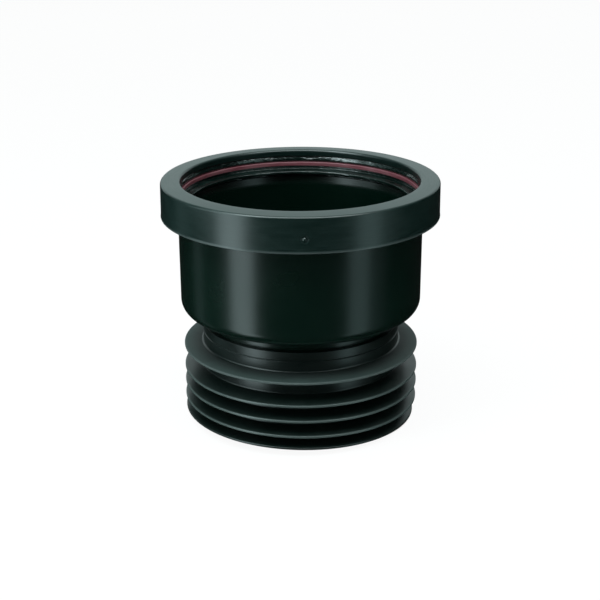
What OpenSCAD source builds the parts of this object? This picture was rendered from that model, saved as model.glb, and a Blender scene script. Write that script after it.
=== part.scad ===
// Drain connector: a push-fit socket for a soil pipe, above a spigot that wears a finned rubber seal.
// The spigot end stands on z = 0 and the socket mouth faces up. Sizes are in millimetres.

/* [Socket] */
// Outside diameter of the soil pipe that pushes into the socket
pipe_d = 110; // [104:1:130]
// Radial room between the pipe and the socket wall
pipe_room = 0.4; // [0.2:0.1:0.8]
// Thickness of the socket wall and of its floor
socket_wall = 4; // [3:0.1:5]
// Straight length of the socket, from its floor to the seal seat
socket_len = 47.8; // [35:0.1:70]
// How much the outside of the socket narrows towards the shoulder, on the radius
socket_draft = 0.2; // [0:0.05:0.5]
// Outer radius of the shoulder under the socket
shoulder_r = 6.5; // [4.5:0.5:9]
// Rounding of the floor's edge, where the waterway starts
floor_edge_r = 1.5; // [0.5:0.5:3]

/* [Spigot] */
// Outside diameter of the spigot
spigot_d = 92.8; // [86:0.2:96]
// Wall thickness of the spigot
spigot_wall = 3; // [2.4:0.1:4]
// Length of bare neck between the rubber cuff and the shoulder
neck_len = 5.9; // [4:0.1:15]
// Fillet between the neck and the underside of the shoulder
neck_fillet = 3; // [1:0.5:4]
// How far the bead that holds the finned seal stands out of the spigot
bead_out = 0.9; // [0.5:0.1:1.4]
// Height of that bead
bead_h = 2.4; // [1.8:0.1:4]
// Chamfer at the spigot end
spigot_chamfer = 0.8; // [0.4:0.1:1.5]

/* [Seal seat] */
// Radial room between the pipe and the mouth
mouth_room = 2.8; // [2:0.1:4]
// Radial width of the seal that the mouth's edge covers
seal_cover = 3.7; // [3.2:0.1:5]
// Height of the seat that the ring seal fills
seat_h = 10.4; // [9.5:0.1:14]
// Thickness of the ledge that the ring seal rests on
ledge_t = 2.5; // [2:0.1:4]
// Fillet under the ledge, and rounding of its outer edge
ledge_edge_r = 1; // [0.4:0.1:2]
// Thickness of the rim round the ring seal
rim_wall = 2.6; // [2:0.1:4]
// Radial width of the tapered lead-in at the top of the socket wall
socket_lead = 1.3; // [0.5:0.1:1.5]
// Height of that lead-in
socket_lead_h = 4.5; // [1:0.5:8]
// How far the barb that holds the collar stands out of the rim
barb_out = 0.7; // [0.4:0.1:1]
// Height of the barb, from its catching face to the end of its ramp
barb_h = 2.2; // [1.5:0.1:3]
// Height of the catching face above the underside of the ledge
barb_up = 3.2; // [2.6:0.1:4.5]

/* [Retaining collar] */
// Thickness of the collar's top plate at its outer edge
collar_top_t = 2.95; // [2:0.05:4]
// How much the plate rises from there to the mouth
collar_rise = 0.45; // [0:0.05:1]
// Width of the level land round the mouth, with its rounded edge
mouth_land = 3.2; // [2:0.1:5]
// Thickness of the collar's skirt
collar_wall = 2.6; // [2:0.1:4]
// How much the skirt flares towards its open edge, on the radius
collar_flare = 0.35; // [0:0.05:0.8]
// How far the skirt reaches below the underside of the ledge
skirt_drop = 0.95; // [0:0.05:3]
// Rounding of the skirt's lower outer edge
skirt_edge_r = 0.6; // [0.3:0.1:1.2]
// Height of the snap bead inside the skirt
snap_h = 1.6; // [1:0.1:2.2]
// Rounding of the collar's top outer edge
collar_edge_r = 1.2; // [0.4:0.1:1.6]
// Rounding of the mouth's edge
mouth_edge_r = 1.2; // [0.2:0.1:1.6]
// Height of the moulding gate above the skirt's lower edge
gate_up = 6.6; // [4:0.1:10]
// Diameter of the dimple round the moulding gate
gate_d = 2.8; // [2:0.1:4]
// Depth of that dimple
gate_deep = 0.3; // [0.2:0.05:0.6]
// Diameter of the nub that the gate leaves
nub_d = 1; // [0.6:0.1:1.6]

/* [Ring seal] */
// How far the lip reaches inside the pipe's outer surface
lip_bite = 1.6; // [0.8:0.1:2.4]
// Thickness of the lip at its tip
lip_tip_t = 1.2; // [0.8:0.1:1.6]
// Thickness of the lip at its root
lip_root_t = 2.2; // [1.6:0.1:2.8]
// How far the lip's upper face falls towards the tip
lip_fall = 0.8; // [0.3:0.1:1.5]
// Distance from the support ring down to the lip's root
lip_drop = 1.4; // [1.2:0.1:3]
// How far the seal's upper roll stands inside the mouth
roll_in = 0.6; // [0.3:0.1:1]
// Rounding of that roll
roll_r = 1.1; // [0.5:0.1:1.5]
// Distance from the collar's plate down to the support ring
band_drop = 3; // [2:0.1:3.4]
// Height of the support ring
band_h = 2; // [1.4:0.1:2.6]
// Radial thickness of the support ring
band_t = 2.4; // [1.6:0.1:2.8]
// How far the support ring stands inside the mouth
band_in = 0.7; // [0.3:0.1:1.2]

/* [Finned seal] */
// Diameter over the fins
fin_d = 116.4; // [112:0.2:124]
// Diameter over the lead fin at the spigot end
lead_fin_d = 114.8; // [108:0.2:118]
// Height of the lead fin's upper edge above the spigot end
lead_fin_z = 3.5; // [1.6:0.1:6]
// Distance from the lead fin to the next fin above it
lead_fin_gap = 7.1; // [5:0.1:12]
// Pitch of the lower fins above the lead fin
fin_pitch = 7.9; // [5:0.1:12]
// Number of lower fins, the lead fin among them
lower_fins = 4; // [2:1:6]
// Distance from the highest of the lower fins to the top fin
top_fin_gap = 11.6; // [7:0.1:18]
// Thickness of a fin at its edge
fin_edge_t = 1.1; // [0.8:0.1:1.6]
// Rounding of the fins' edges
fin_edge_r = 0.4; // [0.1:0.05:0.5]
// Thickness of a fin at its root
fin_root_t = 2.8; // [1.8:0.1:3.6]
// How far the upper face of a lower fin falls towards its edge
fin_droop = 2.3; // [0.6:0.1:3.2]
// How far the upper face of the top fin falls towards its edge
top_fin_droop = 1.4; // [0:0.1:3]
// Fillet at the roots of the fins
fin_fillet = 0.8; // [0.3:0.1:1.2]
// Wall thickness of the sleeve between the fins
sleeve_wall = 2.9; // [2.2:0.1:4]
// Wall thickness of the cuff above the top fin
cuff_wall = 2.1; // [1.6:0.1:4]
// Height of the cuff above the edge of the top fin
cuff_h = 11.3; // [8:0.1:20]
// Distance from the top of the cuff down to its groove
cuff_groove_drop = 4.1; // [2:0.1:6]
// Width of the groove round the cuff
cuff_groove_w = 0.8; // [0.5:0.1:1.5]
// Depth of the groove round the cuff
cuff_groove_deep = 0.4; // [0.2:0.1:0.8]
// Thickness of the toe that folds under the spigot end
toe_t = 2.6; // [1.6:0.1:4]

/* [Fits and edges] */
// Gap left between pieces that grip each other
fit_gap = 0.06; // [0.03:0.01:0.15]
// Small rounding of moulded edges
soft_edge = 0.3; // [0.1:0.05:0.4]

/* [Hidden] */
$fn = 180;
arc_step = 12;
edge_use = 0.98;
black_plastic = [0.075, 0.095, 0.095];
black_rubber = [0.05, 0.062, 0.06];
dull_red = [0.45, 0.17, 0.2];

// Radii from the waterway outwards
spigot_r = spigot_d / 2;
bore_r = spigot_r - spigot_wall;
sleeve_r = spigot_r + fit_gap + sleeve_wall;
cuff_r = spigot_r + fit_gap + cuff_wall;
fin_r = fin_d / 2;
lead_fin_r = lead_fin_d / 2;
pipe_r = pipe_d / 2;
socket_r = pipe_r + pipe_room;
socket_out_r = socket_r + socket_wall;
mouth_r = pipe_r + mouth_room;
seat_r = mouth_r + seal_cover;
rim_r = seat_r + rim_wall;
skirt_in_r = rim_r + barb_out + fit_gap;
collar_r = skirt_in_r + collar_wall;
band_r = mouth_r - band_in;

// Heights from the spigot end upwards
second_fin_z = lead_fin_z + lead_fin_gap;
top_lower_fin_z = second_fin_z + (lower_fins - 2) * fin_pitch;
top_fin_z = top_lower_fin_z + top_fin_gap;
cuff_top_z = top_fin_z + cuff_h;
under_z = cuff_top_z + neck_len;
floor_z = under_z + socket_wall;
ledge_z = floor_z + socket_len;
ledge_under_z = ledge_z - ledge_t;
rim_top_z = ledge_z + seat_h;
collar_top_z = rim_top_z + collar_top_t;
skirt_end_z = ledge_under_z - skirt_drop;
catch_z = ledge_under_z + barb_up;
band_top_z = rim_top_z - band_drop;
band_low_z = band_top_z - band_h;
lip_root_z = band_low_z - lip_drop;
bead_z = top_lower_fin_z + (top_fin_gap - bead_h) / 2;

// A unit vector along v
function unit(v) = v / norm(v);

// The turn from angle a to angle b, by the shorter way
function turn(a, b) = let (d = b - a) d > 180 ? d - 360 : d < -180 ? d + 360 : d;

// A corner's place, without its rounding
function place(corner) = [corner[0], corner[1]];

// The length that corner b may take of its edge to corner a, which their two roundings share
function share(a, b) = norm(place(a) - place(b)) * edge_use * b[2] / (a[2] + b[2]);

// The arc that rounds corner b between a and c, as large as it asks for and its edges allow
function rounded(a, b, c) =
    let (
        u = unit(place(a) - place(b)),
        w = unit(place(c) - place(b)),
        half = acos(u * w) / 2,
        size = min(b[2], min(share(a, b), share(c, b)) * tan(half)),
        centre = place(b) + unit(u + w) * size / sin(half),
        p = place(b) + u * size / tan(half) - centre,
        q = place(b) + w * size / tan(half) - centre,
        from = atan2(p.y, p.x),
        sweep = turn(from, atan2(q.y, q.x)),
        steps = max(2, ceil(abs(sweep) / arc_step))
    )
    [for (i = [0 : steps]) centre + size * [cos(from + sweep * i / steps), sin(from + sweep * i / steps)]];

// An outline from corners [radius, height, rounding], where a rounding of 0 is a sharp corner
function outline(corners) =
    let (n = len(corners))
    [
        for (i = [0 : n - 1])
            let (
                a = corners[(i + n - 1) % n],
                b = corners[i],
                c = corners[(i + 1) % n]
            )
            each b[2] > 0 ? rounded(a, b, c) : [place(b)]
    ];

// The corners of one fin, from the underside of its root to the top of its root
function fin_corners(edge_r, edge_z, droop, over_r) = [
    [sleeve_r, edge_z + droop - fin_root_t, fin_fillet],
    [edge_r, edge_z - fin_edge_t, fin_edge_r],
    [edge_r, edge_z, fin_edge_r],
    [over_r, edge_z + droop, fin_fillet]
];

// A solid of revolution from corners
module turned(corners) {
    rotate_extrude() polygon(outline(corners));
}

// One moulding: socket, shoulder, neck and spigot, with the seal seat and the collar's barb at its rim
module socket_body() {
    inner_shoulder_r = max(shoulder_r - socket_wall, soft_edge);
    color(black_plastic)
        turned([
            [bore_r, toe_t + fit_gap, soft_edge],
            [spigot_r - spigot_chamfer, toe_t + fit_gap, 0],
            [spigot_r, toe_t + fit_gap + spigot_chamfer, 0],
            [spigot_r, bead_z, 0],
            [spigot_r + bead_out, bead_z + bead_out, soft_edge],
            [spigot_r + bead_out, bead_z + bead_h, 0],
            [spigot_r, bead_z + bead_h, 0],
            [spigot_r, under_z, neck_fillet],
            [socket_out_r - socket_draft, under_z, shoulder_r],
            [socket_out_r, ledge_under_z, ledge_edge_r],
            [rim_r, ledge_under_z, ledge_edge_r],
            [rim_r, catch_z, 0],
            [rim_r + barb_out, catch_z, 0],
            [rim_r + barb_out, catch_z + barb_out, soft_edge],
            [rim_r, catch_z + barb_h, 0],
            [rim_r, rim_top_z, soft_edge],
            [seat_r, rim_top_z, soft_edge],
            [seat_r, ledge_z, soft_edge],
            [socket_r + socket_lead, ledge_z, 0],
            [socket_r, ledge_z - socket_lead_h, 0],
            [socket_r, floor_z, inner_shoulder_r],
            [bore_r, floor_z, floor_edge_r]
        ]);
}

// Snap-on ring that closes the seal seat: its bead catches under the barb of the rim
module retaining_collar() {
    snap_top_z = catch_z - fit_gap;
    snap_low_z = snap_top_z - snap_h;
    end_r = collar_r + collar_flare;
    mouth_z = collar_top_z + collar_rise;
    gate_z = skirt_end_z + gate_up;
    gate_wall_r = end_r - collar_flare * gate_up / (collar_top_z - skirt_end_z);
    // Radius of the ball whose cap is as wide and as deep as the dimple
    ball_r = (pow(gate_d / 2, 2) + pow(gate_deep, 2)) / (2 * gate_deep);
    color(black_plastic)
        union() {
            difference() {
                turned([
                    [mouth_r, rim_top_z, soft_edge],
                    [skirt_in_r, rim_top_z, soft_edge],
                    [skirt_in_r, snap_top_z, 0],
                    [rim_r + fit_gap, snap_top_z, soft_edge],
                    [rim_r + fit_gap, snap_low_z, soft_edge],
                    [skirt_in_r, snap_low_z - barb_out, 0],
                    [skirt_in_r, skirt_end_z, soft_edge],
                    [end_r, skirt_end_z, skirt_edge_r],
                    [collar_r, collar_top_z, collar_edge_r],
                    [mouth_r + mouth_land, mouth_z, 0],
                    [mouth_r, mouth_z, mouth_edge_r]
                ]);
                translate([0, gate_deep - gate_wall_r - ball_r, gate_z]) sphere(r = ball_r);
            }
            translate([0, -gate_wall_r, gate_z]) rotate([-90, 0, 0]) cylinder(d = nub_d, h = collar_wall / 2);
        }
}

// Lip seal for the pipe: a roll under the collar, a seat for the support ring, and the lip
module ring_seal() {
    foot_r = mouth_r + fit_gap;
    lip_r = pipe_r - lip_bite;
    tip_z = lip_root_z - lip_fall;
    color(black_rubber)
        turned([
            [foot_r, ledge_z, soft_edge],
            [seat_r - fit_gap, ledge_z, soft_edge],
            [seat_r - fit_gap, rim_top_z, soft_edge],
            [mouth_r - roll_in, rim_top_z, roll_r],
            [mouth_r - roll_in, band_top_z + fit_gap, roll_r],
            [band_r + band_t + fit_gap, band_top_z + fit_gap, 0],
            [band_r + band_t + fit_gap, band_low_z - fit_gap, 0],
            [mouth_r - roll_in, band_low_z - fit_gap, soft_edge],
            [foot_r, lip_root_z, soft_edge],
            [lip_r, tip_z, soft_edge],
            [lip_r, tip_z - lip_tip_t, soft_edge],
            [foot_r, lip_root_z - lip_root_t, soft_edge]
        ]);
}

// Red ring that stiffens the ring seal and shows inside the mouth
module seal_support_ring() {
    color(dull_red)
        turned([
            [band_r, band_low_z, soft_edge],
            [band_r + band_t, band_low_z, 0],
            [band_r + band_t, band_top_z, 0],
            [band_r, band_top_z, soft_edge]
        ]);
}

// Rubber sleeve on the spigot: toe, lower fins, top fin and grooved cuff
module finned_seal() {
    inside_r = spigot_r + fit_gap;
    toe_r = bore_r + fit_gap;
    groove_z = cuff_top_z - cuff_groove_drop;
    upper_fins = [
        for (i = [0 : lower_fins - 2])
            each fin_corners(fin_r, second_fin_z + i * fin_pitch, fin_droop, sleeve_r)
    ];
    color(black_rubber)
        turned(concat(
            [
                [toe_r, toe_t, 0],
                [toe_r, 0, soft_edge],
                [sleeve_r, 0, soft_edge]
            ],
            fin_corners(lead_fin_r, lead_fin_z, fin_droop, sleeve_r),
            upper_fins,
            fin_corners(fin_r, top_fin_z, top_fin_droop, cuff_r),
            [
                [cuff_r, groove_z - cuff_groove_w, 0],
                [cuff_r - cuff_groove_deep, groove_z - cuff_groove_w / 2, 0],
                [cuff_r, groove_z, 0],
                [cuff_r, cuff_top_z, soft_edge],
                [inside_r, cuff_top_z, soft_edge],
                [inside_r, bead_z + bead_h + fit_gap, 0],
                [inside_r + bead_out, bead_z + bead_h + fit_gap, 0],
                [inside_r + bead_out, bead_z + bead_out - fit_gap, 0],
                [inside_r, bead_z - fit_gap, 0],
                [inside_r, toe_t, 0]
            ]
        ));
}

socket_body();
retaining_collar();
ring_seal();
seal_support_ring();
finned_seal();
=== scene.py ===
# Drain connector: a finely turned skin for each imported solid, its materials, and the photo's studio
import math

import bmesh
import bpy
from mathutils import Euler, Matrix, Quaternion, Vector


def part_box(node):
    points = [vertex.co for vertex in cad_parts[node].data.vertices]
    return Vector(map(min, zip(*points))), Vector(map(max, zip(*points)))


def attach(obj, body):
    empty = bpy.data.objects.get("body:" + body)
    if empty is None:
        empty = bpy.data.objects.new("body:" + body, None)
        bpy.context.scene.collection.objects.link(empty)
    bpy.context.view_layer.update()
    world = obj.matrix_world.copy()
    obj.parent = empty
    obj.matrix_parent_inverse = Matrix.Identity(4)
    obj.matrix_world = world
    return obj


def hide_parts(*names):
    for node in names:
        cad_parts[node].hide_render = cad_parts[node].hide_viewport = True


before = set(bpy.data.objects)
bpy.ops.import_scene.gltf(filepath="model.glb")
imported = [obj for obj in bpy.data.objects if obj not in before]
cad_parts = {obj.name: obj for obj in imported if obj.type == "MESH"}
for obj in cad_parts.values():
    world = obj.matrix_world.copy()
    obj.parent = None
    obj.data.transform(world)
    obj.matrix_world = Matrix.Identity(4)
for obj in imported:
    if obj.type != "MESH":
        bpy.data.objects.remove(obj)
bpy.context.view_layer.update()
print("frame loaded:", ", ".join(sorted(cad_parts)))

mm = 0.001
mmPerMetre = 1000  # a pattern that repeats every so many mm has this over that number as its scale

turning = {
    "steps": 240,  # facets round the axis, 1.8 mm wide on the collar
    "sharpEdge": math.radians(38),  # edges that bend more than this stay crisp
    "sharedEdge": 0.98,  # how much of an edge the roundings at its two ends may take
    "smallRounding": 1.0,  # mm, and an arc that is smaller than this is turned in coarse steps
    "coarseStep": math.radians(18),
    "fineStep": math.radians(7),
    "mergeReach": 1e-6,
}


# How far along its two edges a corner's rounding reaches, and how much it bends; neighbours share an edge
def roundingReach(corners, i):
    before, here, after = corners[i - 1], corners[i], corners[(i + 1) % len(corners)]
    place = Vector(here[:2])
    edges = [Vector(corner[:2]) - place for corner in (before, after)]
    half = edges[0].angle(edges[1]) / 2
    room = min(
        edge.length * turning["sharedEdge"] * here[2] / (here[2] + corner[2])
        for edge, corner in zip(edges, (before, after))
    )
    return min(here[2] / math.tan(half), room), math.pi - 2 * half


# Turns an outline of corners (radius, height, rounding) in mm round the axis, with no edge above longest
def turnOutline(corners, longest=12.0):
    bm = bmesh.new()
    ring = [bm.verts.new((r * mm, 0, z * mm)) for r, z, rounding in corners]
    for a, b in zip(ring, ring[1:] + ring[:1]):
        bm.edges.new((a, b))
    for i, (r, z, rounding) in enumerate(corners):
        if rounding:
            reach, bend = roundingReach(corners, i)
            step = turning["coarseStep"] if rounding < turning["smallRounding"] else turning["fineStep"]
            bmesh.ops.bevel(
                bm, geom=[ring[i]], offset=reach * mm, offset_type="OFFSET",
                segments=max(2, math.ceil(bend / step)), profile=0.5, affect="VERTICES", material=-1,
            )
    for edge in [e for e in bm.edges if e.calc_length() > longest * mm]:
        bmesh.ops.subdivide_edges(bm, edges=[edge], cuts=int(edge.calc_length() / (longest * mm)))
    bmesh.ops.spin(
        bm, geom=bm.verts[:] + bm.edges[:], cent=(0, 0, 0), axis=(0, 0, 1),
        angle=math.tau, steps=turning["steps"], use_merge=True,
    )
    bmesh.ops.remove_doubles(bm, verts=bm.verts[:], dist=turning["mergeReach"])
    bmesh.ops.recalc_face_normals(bm, faces=bm.faces[:])
    return bm


# Makes the piece that stands for a node
def dressNode(bm, name, node, material):
    for edge in bm.edges:
        edge.smooth = not edge.is_manifold or edge.calc_face_angle() < turning["sharpEdge"]
    for face in bm.faces:
        face.smooth = True
    mesh = bpy.data.meshes.new(name)
    bm.to_mesh(mesh)
    bm.free()
    mesh.materials.append(material)
    piece = bpy.data.objects.new(name, mesh)
    bpy.context.scene.collection.objects.link(piece)
    flats = piece.modifiers.new("keepFlatsFlat", "WEIGHTED_NORMAL")
    flats.keep_sharp = True
    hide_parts(node)
    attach(piece, "root")
    print(name, "made:", len(mesh.polygons), "faces")
    return piece


def linearColour(hexText):
    parts = [int(hexText[i:i + 2], 16) / 255 for i in (1, 3, 5)]
    return [p / 12.92 if p <= 0.04045 else ((p + 0.055) / 1.055) ** 2.4 for p in parts] + [1.0]


def addNode(tree, kind, inputs=None, **settings):
    node = tree.nodes.new("ShaderNode" + kind)
    for name, value in settings.items():
        setattr(node, name, value)
    for socket, value in (inputs or {}).items():
        if isinstance(value, bpy.types.NodeSocket):
            tree.links.new(value, node.inputs[socket])
        else:
            node.inputs[socket].default_value = value
    return node


def newMaterial(name):
    material = bpy.data.materials.new(name)
    material.use_nodes = True
    material.node_tree.nodes.clear()
    return material, material.node_tree


# Where a point lies from the axis: as a flat vector, as a distance, and its height
def fromAxis(tree, place):
    parts = addNode(tree, "SeparateXYZ", {0: place}).outputs
    flat = addNode(tree, "CombineXYZ", {"X": parts["X"], "Y": parts["Y"]}).outputs[0]
    radius = addNode(tree, "VectorMath", {0: flat}, operation="LENGTH").outputs["Value"]
    return flat, radius, parts["Z"]


# Coordinates that follow the ring: features come out lengthMm long round it and widthMm across it
def ringCoordinates(tree, lengthMm, widthMm, radiusMm=60):
    flat, radius, height = fromAxis(tree, addNode(tree, "TexCoord").outputs["Object"])
    heading = addNode(tree, "VectorMath", {0: flat}, operation="NORMALIZE").outputs["Vector"]
    around = addNode(tree, "VectorMath", {0: heading, "Scale": radiusMm / lengthMm}, operation="SCALE")
    across = addNode(tree, "Math", {0: radius, 1: height}, operation="ADD").outputs[0]
    scaled = addNode(tree, "Math", {0: across, 1: mmPerMetre / widthMm}, operation="MULTIPLY").outputs[0]
    upright = addNode(tree, "CombineXYZ", {"Z": scaled}).outputs[0]
    both = addNode(tree, "VectorMath", {0: around.outputs["Vector"], 1: upright}, operation="ADD")
    return both.outputs["Vector"]


mixUnder, mixOver, mixed = 6, 7, 2  # the colour sockets of a Mix node: two inputs and the output


# Lays the look's colours over its base colour, each through its own mask
def layColours(tree, look, base, layers):
    colour = linearColour(look[base])
    for name, mask in layers.items():
        colour = addNode(tree, "Mix", {
            "Factor": mask, mixUnder: colour, mixOver: linearColour(look[name]),
        }, data_type="RGBA").outputs[mixed]
    return colour


# Roughness that wanders a little either side of the look's own, with a noise
def unevenRoughness(tree, look, noise):
    return addNode(tree, "MapRange", {
        "Value": noise, "From Min": 0.3, "From Max": 0.7,
        "To Min": look["roughness"] - look["roughnessSpread"],
        "To Max": look["roughness"] + look["roughnessSpread"],
    }).outputs["Result"]


def finishMaterial(tree, look, colour, roughness, relief):
    bump = addNode(tree, "Bump", {
        "Height": relief, "Strength": look["bumpStrength"], "Distance": look["reliefMm"] * mm,
    })
    shader = addNode(tree, "BsdfPrincipled", {
        "Base Color": colour, "Roughness": roughness, "IOR": look["ior"],
        "Specular IOR Level": look["specular"], "Normal": bump.outputs[0],
    })
    addNode(tree, "OutputMaterial", {"Surface": shader.outputs[0]})


# Black polypropylene, injection moulded: satin with a fine orange peel, in a soft, slightly green black
def mouldedPlastic(name, look):
    material, tree = newMaterial(name)
    place = addNode(tree, "TexCoord").outputs["Object"]
    flow = addNode(tree, "TexNoise", {
        "Vector": place, "Scale": mmPerMetre / look["flowMm"], "Detail": 3.0, "Roughness": 0.55,
    }).outputs["Fac"]
    peel = addNode(tree, "TexNoise", {
        "Vector": place, "Scale": mmPerMetre / look["peelMm"], "Detail": 2.0,
    }).outputs["Fac"]
    scuffs = addNode(tree, "TexNoise", {
        "Vector": ringCoordinates(tree, look["scuffLengthMm"], look["scuffWidthMm"]),
        "Scale": 1.0, "Detail": 4.0, "Roughness": 0.65,
    }).outputs["Fac"]
    # faces that point up are laid paler and duller than the walls
    up = addNode(tree, "SeparateXYZ", {0: addNode(tree, "NewGeometry").outputs["Normal"]}).outputs["Z"]
    facingUp = addNode(tree, "MapRange", {"Value": up, "From Min": 0.75, "From Max": 0.98}).outputs["Result"]
    wear = addNode(tree, "MapRange", {"Value": scuffs, "From Min": 0.4, "From Max": 0.75}).outputs["Result"]
    exposed = addNode(tree, "Math", {0: facingUp, 1: look["wallWear"]}, operation="MAXIMUM").outputs[0]
    worn = addNode(tree, "Math", {0: wear, 1: exposed}, operation="MULTIPLY").outputs[0]
    # the skirt's lower edge stands proud and is painted pale: a painted highlight along its rounding
    flat, radius, height = fromAxis(tree, place)
    outside = addNode(tree, "Math", {0: radius, 1: look["skirtFromR"] * mm}, operation="GREATER_THAN")
    low = addNode(tree, "MapRange", {
        "Value": height, "From Min": look["lipFromZ"] * mm, "From Max": look["lipPaleZ"] * mm,
    }).outputs["Result"]
    lipHighlight = addNode(tree, "Math", {0: outside.outputs[0], 1: low}, operation="MULTIPLY").outputs[0]
    layers = {"shallow": flow, "facingUp": facingUp, "scuffed": worn, "paintedEdgeHighlight": lipHighlight}
    even = unevenRoughness(tree, look, flow)
    rough = addNode(tree, "Math", {0: worn, 1: look["wornRoughness"], 2: even}, operation="MULTIPLY_ADD")
    scratch = addNode(tree, "Math", {0: scuffs, 1: facingUp}, operation="MULTIPLY").outputs[0]
    relief = addNode(tree, "Math", {0: scratch, 1: look["scuffDepth"], 2: peel}, operation="MULTIPLY_ADD")
    finishMaterial(tree, look, layColours(tree, look, "deep", layers), rough.outputs[0], relief.outputs[0])
    return material


# the pale edge colour is a painted highlight on the skirt's lower edge
bodyLook = {
    "deep": "#00100a", "shallow": "#02160f", "facingUp": "#0d1d17", "scuffed": "#1a2b27", "paintedEdgeHighlight": "#333a39",
    "roughness": 0.26, "roughnessSpread": 0.015, "wornRoughness": 0.1, "ior": 1.49, "specular": 0.5,
    "flowMm": 22, "peelMm": 0.9, "reliefMm": 0.02, "bumpStrength": 0.25,
    "scuffLengthMm": 9, "scuffWidthMm": 0.5, "scuffDepth": 0.8, "wallWear": 0.0,
    "skirtFromR": 66.3, "lipFromZ": 104.9, "lipPaleZ": 104.1,
}
collarLook = dict(
    bodyLook, deep="#01120f", shallow="#061a17", facingUp="#142421", scuffed="#2a3a37",
    specular=0.7, roughness=0.29, wallWear=0.25,
)


# EPDM rubber, moulded and wetted with silicone grease: near black, wet gloss, lumpy where the grease gathers
def greasedRubber(name, look):
    material, tree = newMaterial(name)
    lumps = addNode(tree, "TexNoise", {
        "Vector": ringCoordinates(tree, look["lumpLengthMm"], look["lumpWidthMm"]),
        "Scale": 1.0, "Detail": 3.0, "Roughness": 0.55,
    }).outputs["Fac"]
    smear = addNode(tree, "TexNoise", {
        "Vector": ringCoordinates(tree, look["smearLengthMm"], look["smearWidthMm"]),
        "Scale": 1.0, "Detail": 2.0,
    }).outputs["Fac"]
    film = addNode(tree, "MapRange", {"Value": smear, "From Min": 0.45, "From Max": 0.7}).outputs["Result"]
    rough = addNode(tree, "MapRange", {
        "Value": film, "To Min": look["bareRoughness"], "To Max": look["greasedRoughness"],
    }).outputs["Result"]
    finishMaterial(tree, look, layColours(tree, look, "bare", {"greased": film}), rough, lumps)
    return material


sealLook = {
    "bare": "#04100d", "greased": "#14221f", "bareRoughness": 0.14, "greasedRoughness": 0.24,
    "ior": 1.5, "specular": 1.0, "lumpLengthMm": 7, "lumpWidthMm": 3.0, "reliefMm": 0.9, "bumpStrength": 0.9,
    "smearLengthMm": 16, "smearWidthMm": 3,
}


# EPDM rubber, moulded and dry: satin and near black, under a faint cloudy bloom and some dust, with painted
# light on the fins' outer parts and a painted highlight on their edges
def dryRubber(name, look):
    material, tree = newMaterial(name)
    place = addNode(tree, "TexCoord").outputs["Object"]
    bloom = addNode(tree, "TexNoise", {
        "Vector": place, "Scale": mmPerMetre / look["bloomMm"], "Detail": 4.0, "Roughness": 0.6,
    }).outputs["Fac"]
    grain = addNode(tree, "TexNoise", {
        "Vector": place, "Scale": mmPerMetre / look["grainMm"], "Detail": 2.0,
    }).outputs["Fac"]
    cloud = addNode(tree, "MapRange", {"Value": bloom, "From Min": 0.35, "From Max": 0.7}).outputs["Result"]
    # the outer parts of the fins are laid paler, most of all on the top one: partly dust settled in the open,
    # partly painted light where they stand clear of the body's shade, with the lower fins left in the shade
    # of the fins above
    flat, radius, height = fromAxis(tree, place)
    outwardDustAndLight = addNode(tree, "MapRange", {
        "Value": radius, "From Min": look["dustAndLightFromR"] * mm, "From Max": look["dustAndLightToR"] * mm,
    }, interpolation_type="SMOOTHSTEP").outputs["Result"]
    patchy = addNode(tree, "MapRange", {
        "Value": bloom, "From Min": 0.2, "From Max": 0.6, "To Min": look["thinnestDust"],
    }).outputs["Result"]
    topmost = addNode(tree, "MapRange", {
        "Value": height, "From Min": look["topFinFromZ"] * mm, "From Max": look["topFinToZ"] * mm,
        "To Min": look["lowerFinsDustAndLight"],
    }).outputs["Result"]
    spreadDustAndLight = addNode(tree, "Math", {0: outwardDustAndLight, 1: patchy}, operation="MULTIPLY").outputs[0]
    dustAndLight = addNode(tree, "Math", {0: spreadDustAndLight, 1: topmost}, operation="MULTIPLY").outputs[0]
    # the thin edges are painted a paler grey as a painted highlight, except on the lead fin, which stays in
    # the shade
    thin = addNode(tree, "MapRange", {
        "Value": radius, "From Min": look["edgeHighlightFromR"] * mm, "From Max": look["edgeHighlightToR"] * mm,
    }).outputs["Result"]
    above = addNode(tree, "Math", {0: height, 1: look["leadFinZ"] * mm}, operation="GREATER_THAN").outputs[0]
    edge = addNode(tree, "Math", {0: thin, 1: above}, operation="MULTIPLY").outputs[0]
    # the top fin, where the dust and painted light are laid thickest, has lost its shine
    onFins = addNode(tree, "Math", {0: radius, 1: look["finsFromR"] * mm}, operation="GREATER_THAN")
    onTopFin = addNode(tree, "Math", {0: onFins.outputs[0], 1: topmost}, operation="MULTIPLY").outputs[0]
    even = unevenRoughness(tree, look, bloom)
    rough = addNode(tree, "Math", {0: onTopFin, 1: look["finDullness"], 2: even}, operation="MULTIPLY_ADD")
    colour = layColours(tree, look, "deep", {"bloomed": cloud, "dustAndPaintedLight": dustAndLight, "paintedEdgeHighlight": edge})
    finishMaterial(tree, look, colour, rough.outputs[0], grain)
    return material


# the pale edge colour is a painted highlight on the fins' edges, and the dusty colour is partly dust and
# partly painted light on the fins' outer parts
finLook = {
    "deep": "#030e0b", "bloomed": "#091411", "dustAndPaintedLight": "#283633", "paintedEdgeHighlight": "#394240",
    "roughness": 0.33, "roughnessSpread": 0.04, "finDullness": 0.3, "ior": 1.5, "specular": 0.65,
    "bloomMm": 14, "grainMm": 0.7, "reliefMm": 0.02, "bumpStrength": 0.3,
    "finsFromR": 49.6, "dustAndLightFromR": 49, "dustAndLightToR": 59, "edgeHighlightFromR": 57.2, "edgeHighlightToR": 58.1,
    "leadFinZ": 7, "topFinFromZ": 28, "topFinToZ": 36, "thinnestDust": 0.6, "lowerFinsDustAndLight": 0.12,
}


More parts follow.
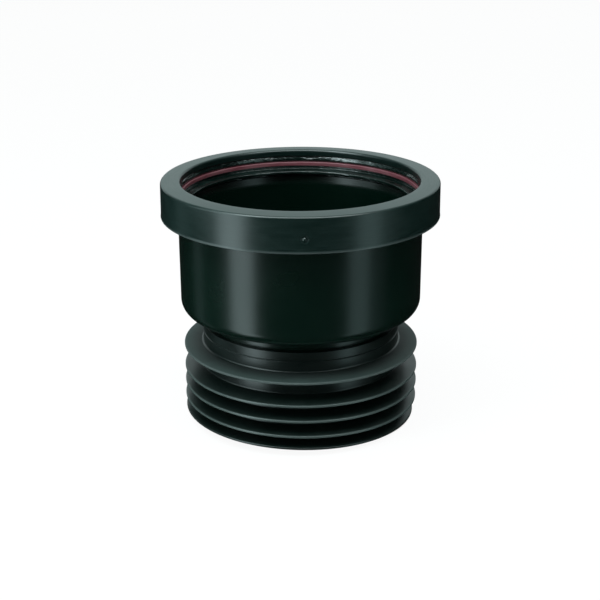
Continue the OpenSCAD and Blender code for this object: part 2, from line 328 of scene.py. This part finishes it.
# Dull red thermoplastic, moulded: an even, slightly chalky red that the grease has dulled in places
def chalkyRed(name, look):
    material, tree = newMaterial(name)
    patches = addNode(tree, "TexNoise", {
        "Vector": ringCoordinates(tree, look["patchLengthMm"], look["patchWidthMm"]),
        "Scale": 1.0, "Detail": 3.0,
    }).outputs["Fac"]
    dull = addNode(tree, "MapRange", {"Value": patches, "From Min": 0.35, "From Max": 0.7}).outputs["Result"]
    colour = layColours(tree, look, "red", {"chalk": dull})
    finishMaterial(tree, look, colour, look["roughness"], patches)
    return material


redLook = {
    "red": "#703840", "chalk": "#86585e", "roughness": 0.35, "ior": 1.5, "specular": 0.5,
    "patchLengthMm": 12, "patchWidthMm": 1.5, "reliefMm": 0.05, "bumpStrength": 0.2,
}

satinBlack = mouldedPlastic("mouldedPolypropylene", bodyLook)
glossyBlack = mouldedPlastic("mouldedCollarPlastic", collarLook)
wetRubber = greasedRubber("greasedSealRubber", sealLook)
finRubber = dryRubber("dryFinRubber", finLook)
dullRed = chalkyRed("dullRedPlastic", redLook)
print("materials made")


# The sizes of all pieces are in mm: a name that ends in R is a radius, and one in Z a height
body = {
    "waterwayR": 43.4, "spigotR": 46.4, "spigotEnd": 2.66, "spigotChamfer": 0.8,
    "beadZ": 31.0, "beadOut": 0.9, "beadHigh": 2.4,
    "neckFillet": 3.0, "shoulderZ": 55.2, "shoulderRounding": 6.5, "draft": 0.2,
    "socketR": 55.4, "socketWall": 4.0, "floorZ": 59.2, "floorEdge": 1.5, "floorCorner": 2.5,
    # the lead-in's slope changes at these shares of its width and height
    "leadIn": 1.3, "leadInHigh": 4.5, "leadInBreak": (0.4, 0.6),
    "ledgeUnder": 104.5, "ledgeZ": 107.0, "ledgeEdge": 1.0, "seatR": 61.5, "rimR": 64.1,
    "barbZ": 107.7, "barbOut": 0.7, "barbHigh": 2.2, "softEdge": 0.3,
}


def bodyOutline(s):
    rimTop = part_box("socket_body")[1].z / mm
    wallR = s["socketR"] + s["socketWall"]
    outShare, downShare = s["leadInBreak"]
    soft = s["softEdge"]
    return [
        (s["waterwayR"], s["spigotEnd"], soft),
        (s["spigotR"] - s["spigotChamfer"], s["spigotEnd"], 0),
        (s["spigotR"], s["spigotEnd"] + s["spigotChamfer"], 0),
        (s["spigotR"], s["beadZ"], 0),
        (s["spigotR"] + s["beadOut"], s["beadZ"] + s["beadOut"], soft),
        (s["spigotR"] + s["beadOut"], s["beadZ"] + s["beadHigh"], 0),
        (s["spigotR"], s["beadZ"] + s["beadHigh"], 0),
        (s["spigotR"], s["shoulderZ"], s["neckFillet"]),
        (wallR - s["draft"], s["shoulderZ"], s["shoulderRounding"]),
        (wallR, s["ledgeUnder"], s["ledgeEdge"]),
        (s["rimR"], s["ledgeUnder"], s["ledgeEdge"]),
        (s["rimR"], s["barbZ"], 0),
        (s["rimR"] + s["barbOut"], s["barbZ"], 0),
        (s["rimR"] + s["barbOut"], s["barbZ"] + s["barbOut"], soft),
        (s["rimR"], s["barbZ"] + s["barbHigh"], 0),
        (s["rimR"], rimTop, soft),
        (s["seatR"], rimTop, soft),
        (s["seatR"], s["ledgeZ"], soft),
        (s["socketR"] + s["leadIn"], s["ledgeZ"], 0),
        (s["socketR"] + s["leadIn"] * outShare, s["ledgeZ"] - s["leadInHigh"] * downShare, 0),
        (s["socketR"], s["ledgeZ"] - s["leadInHigh"], 0),
        (s["socketR"], s["floorZ"], s["floorCorner"]),
        (s["waterwayR"], s["floorZ"], s["floorEdge"]),
    ]


dressNode(turnOutline(bodyOutline(body)), "socketBody", "socket_body", satinBlack)


collar = {
    "mouthR": 57.8, "mouthEdge": 1.2, "mouthLand": 3.2, "rise": 0.45, "topRounding": 1.2,
    "plateZ": 117.4, "wallInR": 64.86, "wallTopR": 67.46, "softEdge": 0.3,
    "skirtRounding": 0.5, "lipOut": 0.22, "lipHigh": 1.3, "lipRounding": 0.8,
    "snapTop": 107.64, "snapLow": 106.04, "snapR": 64.16, "snapRamp": 0.7,
    "gateZ": 110.15, "gateReach": 4.0, "gateRows": 3, "gateFacing": -0.9, "gateCuts": 7,
    "gateR": 2.0, "gateDeep": 0.5, "nubR": 0.9, "nubHigh": 0.75,
}


def collarOutline(s):
    low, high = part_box("retaining_collar")
    end, top, endR = low.z / mm, high.z / mm, high.x / mm
    wallTop = top - s["rise"]
    soft = s["softEdge"]
    # rows of small faces above and below the gate, for its mark
    steps = range(-s["gateRows"], s["gateRows"] + 1)
    gateRows = [s["gateZ"] + s["gateReach"] * step / s["gateRows"] for step in steps]

    def wallAt(z):
        return s["wallTopR"] + (endR - s["lipOut"] - s["wallTopR"]) * (wallTop - z) / (wallTop - end)

    return [
        (s["mouthR"], s["plateZ"], soft),
        (s["wallInR"], s["plateZ"], soft),
        (s["wallInR"], s["snapTop"], 0),
        (s["snapR"], s["snapTop"], soft),
        (s["snapR"], s["snapLow"], soft),
        (s["wallInR"], s["snapLow"] - s["snapRamp"], 0),
        (s["wallInR"], end, soft),
        (endR, end, s["skirtRounding"]),
        (endR - s["lipOut"], end + s["lipHigh"], s["lipRounding"]),
        *[(wallAt(z), z, 0) for z in gateRows],
        (s["wallTopR"], wallTop, s["topRounding"]),
        (s["mouthR"] + s["mouthLand"], top, 0),
        (s["mouthR"], top, s["mouthEdge"]),
    ]


# Presses the moulding gate's dimple and nub into the front of the skirt
def pressGate(bm, s):
    gate = Vector((0, -s["wallTopR"], s["gateZ"])) * mm
    patch = [
        face for face in bm.faces
        if face.normal.y < s["gateFacing"] and (face.calc_center_median() - gate).length < s["gateReach"] * mm
    ]
    edges = list({edge for face in patch for edge in face.edges})
    bmesh.ops.subdivide_edges(bm, edges=edges, cuts=s["gateCuts"], use_grid_fill=True)
    for vert in bm.verts:
        if abs(vert.co.y - gate.y) < mm:
            off = math.hypot(vert.co.x, vert.co.z - gate.z) / mm
            dimple = s["gateDeep"] * max(0.0, 1 - (off / s["gateR"]) ** 2)
            nub = s["nubHigh"] * max(0.0, 1 - (off / s["nubR"]) ** 4)  # steeper at its side than the dimple
            vert.co.y += (dimple - nub) * mm
    return bm


collarSkin = pressGate(turnOutline(collarOutline(collar), longest=40), collar)
dressNode(collarSkin, "retainingCollar", "retaining_collar", glossyBlack)


seal = {
    "footR": 57.86, "footZ": 107.0, "footLean": 0.9, "outerR": 61.44, "softEdge": 0.3,
    "rollR": 57.2, "rollRounding": 1.1, "rollLean": 1.2, "rollTopRounding": 0.6,
    "grooveR": 59.56, "grooveTop": 114.46, "grooveLow": 112.34, "lipRoot": 111.0, "lipRootThick": 2.2,
    "lipR": 53.4, "lipTop": 110.2, "lipThick": 1.2,
}


def sealOutline(s):
    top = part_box("ring_seal")[1].z / mm
    soft = s["softEdge"]
    return [
        (s["footR"] - s["footLean"], s["footZ"], soft),
        (s["outerR"], s["footZ"], soft),
        (s["outerR"], top, soft),
        (s["rollR"] + s["rollLean"], top, s["rollTopRounding"]),
        (s["rollR"], s["grooveTop"], s["rollRounding"]),
        (s["grooveR"], s["grooveTop"], 0),
        (s["grooveR"], s["grooveLow"], 0),
        (s["rollR"], s["grooveLow"], soft),
        (s["footR"], s["lipRoot"], soft),
        (s["lipR"], s["lipTop"], soft),
        (s["lipR"], s["lipTop"] - s["lipThick"], soft),
        (s["footR"], s["lipRoot"] - s["lipRootThick"], soft),
    ]


dressNode(turnOutline(sealOutline(seal)), "ringSeal", "ring_seal", wetRubber)


supportRing = {"innerR": 57.1, "softEdge": 0.35}


def supportOutline(s):
    low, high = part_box("seal_support_ring")
    return [
        (s["innerR"], low.z / mm, s["softEdge"]),
        (high.x / mm, low.z / mm, 0),
        (high.x / mm, high.z / mm, 0),
        (s["innerR"], high.z / mm, s["softEdge"]),
    ]


ringSkin = turnOutline(supportOutline(supportRing))
dressNode(ringSkin, "sealSupportRing", "seal_support_ring", dullRed)


fins = {
    "sleeveR": 49.36, "cuffR": 48.56, "insideR": 46.46, "toeR": 43.46, "toeThick": 2.6,
    "edgeThick": 1.1, "edgeRounding": 0.4, "rootThick": 2.8, "fillet": 0.8, "softEdge": 0.3,
    "cuffTop": 49.3, "grooveZ": 45.2, "grooveWide": 0.8, "grooveDeep": 0.4,
    "keyLow": 30.94, "keyHigh": 33.46, "keyOut": 0.9,
    # droop of the upper face, fall to the right, rise to the front and shift to the left, lowest fin first
    "rows": [
        {"edgeR": 57.4, "edgeZ": 3.5, "droop": 2.3, "fall": 1.5, "rise": 0.9, "shift": 0.7},
        {"edgeR": 58.2, "edgeZ": 10.6, "droop": 2.3, "fall": 1.0, "rise": 0.2, "shift": 0.1},
        {"edgeR": 58.2, "edgeZ": 18.5, "droop": 2.3, "fall": 0.65, "rise": 0.1, "shift": 0.0},
        {"edgeR": 58.2, "edgeZ": 26.4, "droop": 2.3, "fall": 0.45, "rise": 0.0, "shift": 0.0},
        {"edgeR": 58.2, "edgeZ": 38.0, "droop": 1.4, "fall": 0.2, "rise": 0.0, "shift": 0.0},
    ],
    "rootStill": 0.05, "bendPower": 1.4,  # how far out a fin starts to bend, and how fast the bend grows
}


def finOutline(s):
    soft = s["softEdge"]
    corners = [(s["toeR"], s["toeThick"], 0), (s["toeR"], 0, soft), (s["sleeveR"], 0, soft)]
    for row in s["rows"]:
        over = s["cuffR"] if row is s["rows"][-1] else s["sleeveR"]
        corners += [
            (s["sleeveR"], row["edgeZ"] + row["droop"] - s["rootThick"], s["fillet"]),
            (row["edgeR"], row["edgeZ"] - s["edgeThick"], s["edgeRounding"]),
            (row["edgeR"], row["edgeZ"], s["edgeRounding"]),
            (over, row["edgeZ"] + row["droop"], s["fillet"]),
        ]
    return corners + [
        (s["cuffR"], s["grooveZ"] - s["grooveWide"], 0),
        (s["cuffR"] - s["grooveDeep"], s["grooveZ"] - s["grooveWide"] / 2, 0),
        (s["cuffR"], s["grooveZ"], 0),
        (s["cuffR"], s["cuffTop"], soft),
        (s["insideR"], s["cuffTop"], soft),
        (s["insideR"], s["keyHigh"], 0),
        (s["insideR"] + s["keyOut"], s["keyHigh"], 0),
        (s["insideR"] + s["keyOut"], s["keyLow"] + s["keyOut"], 0),
        (s["insideR"], s["keyLow"], 0),
        (s["insideR"], s["toeThick"], 0),
    ]


# Rubber fins never sit quite level: each one tilts a little, more the lower it is
def settleFins(bm, s):
    for vert in bm.verts:
        radius, z = math.hypot(vert.co.x, vert.co.y) / mm, vert.co.z / mm
        if radius < s["sleeveR"] + s["rootStill"]:
            continue
        row = min(s["rows"], key=lambda each: abs(each["edgeZ"] - z))
        bend = ((radius - s["sleeveR"]) / (row["edgeR"] - s["sleeveR"])) ** s["bendPower"]
        vert.co.z -= bend * (row["fall"] * vert.co.x + row["rise"] * vert.co.y) / radius
        vert.co.x -= row["shift"] * bend * mm
    return bm


finSkin = settleFins(turnOutline(finOutline(fins), longest=1.6), fins)
dressNode(finSkin, "finnedSeal", "finned_seal", finRubber)


stageSizes = {"floorR": 4.0, "facets": 96, "floor": "#f8f8f8", "shadowShare": 0.07}


def layFloor(s):
    bm = bmesh.new()
    bmesh.ops.create_circle(bm, cap_ends=True, segments=s["facets"], radius=s["floorR"])
    mesh = bpy.data.meshes.new("paleFloor")
    bm.to_mesh(mesh)
    bm.free()
    floor = bpy.data.objects.new("paleFloor", mesh)
    bpy.context.scene.collection.objects.link(floor)
    material, tree = newMaterial("paleFloor")
    paper = addNode(tree, "BsdfDiffuse", {"Color": linearColour(s["floor"])})
    white = addNode(tree, "Emission", {"Color": (1, 1, 1, 1), "Strength": 1.0})
    seen = addNode(tree, "LightPath").outputs["Is Camera Ray"]
    share = addNode(tree, "Math", {0: seen, 1: 1 - s["shadowShare"]}, operation="MULTIPLY").outputs[0]
    blend = addNode(tree, "MixShader", {0: share, 1: paper.outputs[0], 2: white.outputs[0]})
    addNode(tree, "OutputMaterial", {"Surface": blend.outputs[0]})
    mesh.materials.append(material)
    floor.visible_glossy = False  # the plastic mirrors a dark room below it, as in the photo
    floor.visible_shadow = False  # so the tall panels may reach below the floor
    return floor


# Each soft panel: where its middle is, what it faces, its width and height in metres, and how bright it looks
panels = {
    "leftKey": {
        "from": (-0.312, -0.231, 0.05), "to": (-0.03, -0.052, 0.05),
        "size": (0.15, 0.70), "bright": 2.9, "tint": "#e4fdff",
    },
    "leftFill": {
        "from": (-0.403, -0.083, 0.22), "to": (-0.045, -0.045, 0.22),
        "size": (0.166, 0.34), "bright": 1.3, "tint": "#e1ffff",
    },
    "leftHigh": {
        "from": (-0.36, -0.24, 0.62), "to": (0.02, 0.03, 0.11),
        "size": (0.30, 0.36), "bright": 4.8, "tint": "#e4fdff",
    },
    "leftRim": {
        "from": (-0.42, 0.12, 0.05), "to": (-0.06, 0.0, 0.07),
        "size": (0.10, 0.70), "bright": 0.22, "tint": "#d8ffff",
    },
    "rightKey": {
        "from": (0.333, -0.272, 0.05), "to": (0.03, -0.052, 0.05),
        "size": (0.150, 0.70), "bright": 0.95, "tint": "#d8ffff",
    },
    "rightFill": {
        "from": (0.40, -0.145, 0.05), "to": (0.045, -0.045, 0.05),
        "size": (0.11, 0.70), "bright": 0.12, "tint": "#d8ffff",
    },
    "backWall": {
        "from": (0.0, 1.6, 0.70), "to": (0.0, 0.0, 0.1),
        "size": (3.2, 1.1), "bright": 0.75, "tint": "#ecffff",
    },
    "ceiling": {
        "from": (0.0, -0.32, 1.3), "to": (0.0, -0.05, 0.1),
        "size": (1.6, 0.8), "bright": 4.5, "tint": "#f0ffff",
    },
    "roomAbove": {
        "from": (0.0, -0.1, 1.42), "to": (0.0, -0.1, 0.1),
        "size": (3.4, 3.4), "bright": 0.3, "tint": "#e4ffff",
    },
}


def hangPanel(name, s):
    light = bpy.data.lights.new(name, "AREA")
    light.shape = "RECTANGLE"
    light.size, light.size_y = s["size"]
    light.energy = s["bright"] * math.pi * s["size"][0] * s["size"][1]
    light.color = linearColour(s["tint"])[:3]
    lamp = bpy.data.objects.new(name, light)
    lamp.location = s["from"]
    lamp.rotation_euler = (Vector(s["to"]) - Vector(s["from"])).to_track_quat("-Z", "Y").to_euler()
    lamp.visible_camera = False
    bpy.context.scene.collection.objects.link(lamp)


# How bright the room is where the camera sees it, where the plastic mirrors it, and as a light all round
room = {"seen": 1.0, "mirrored": 0.01, "around": 0.15}
mixFrom, mixTo = 2, 3  # the number inputs of a Mix node


def lightRoom(s):
    world = bpy.data.worlds.new("studio")
    world.use_nodes = True
    tree = world.node_tree
    tree.nodes.clear()
    path = addNode(tree, "LightPath").outputs
    unseen = addNode(tree, "Mix", {
        "Factor": path["Is Glossy Ray"], mixFrom: s["around"], mixTo: s["mirrored"],
    }, data_type="FLOAT").outputs[0]
    strength = addNode(tree, "Mix", {
        "Factor": path["Is Camera Ray"], mixFrom: unseen, mixTo: s["seen"],
    }, data_type="FLOAT").outputs[0]
    sky = addNode(tree, "Background", {"Color": (1, 1, 1, 1), "Strength": strength})
    addNode(tree, "OutputWorld", {"Surface": sky.outputs[0]})
    bpy.context.scene.world = world


layFloor(stageSizes)
for panelName, panelSizes in panels.items():
    hangPanel(panelName, panelSizes)
lightRoom(room)
print("studio lit")


# Lens and sensor in mm, distances in metres and angles in degrees
camera = {
    "lens": 79.1, "sensor": 36, "distance": 0.6182, "height": 0.2806,
    "pitch": 19.8, "turn": 1.5, "roll": -0.2, "aside": -0.00034,
}


def placeCamera(s):
    lens = bpy.data.cameras.new("photoCamera")
    lens.lens, lens.sensor_width = s["lens"], s["sensor"]
    eye = bpy.data.objects.new("photoCamera", lens)
    turn = math.radians(s["turn"])
    eye.location = (
        -s["distance"] * math.sin(turn) + s["aside"] * math.cos(turn),
        -s["distance"] * math.cos(turn) - s["aside"] * math.sin(turn),
        s["height"],
    )
    level = Euler((math.radians(90 - s["pitch"]), 0, -turn)).to_quaternion()
    eye.rotation_euler = (level @ Quaternion((0, 0, 1), math.radians(s["roll"]))).to_euler()
    bpy.context.scene.collection.objects.link(eye)
    bpy.context.scene.camera = eye


placeCamera(camera)
bpy.context.scene.view_settings.view_transform = "Standard"
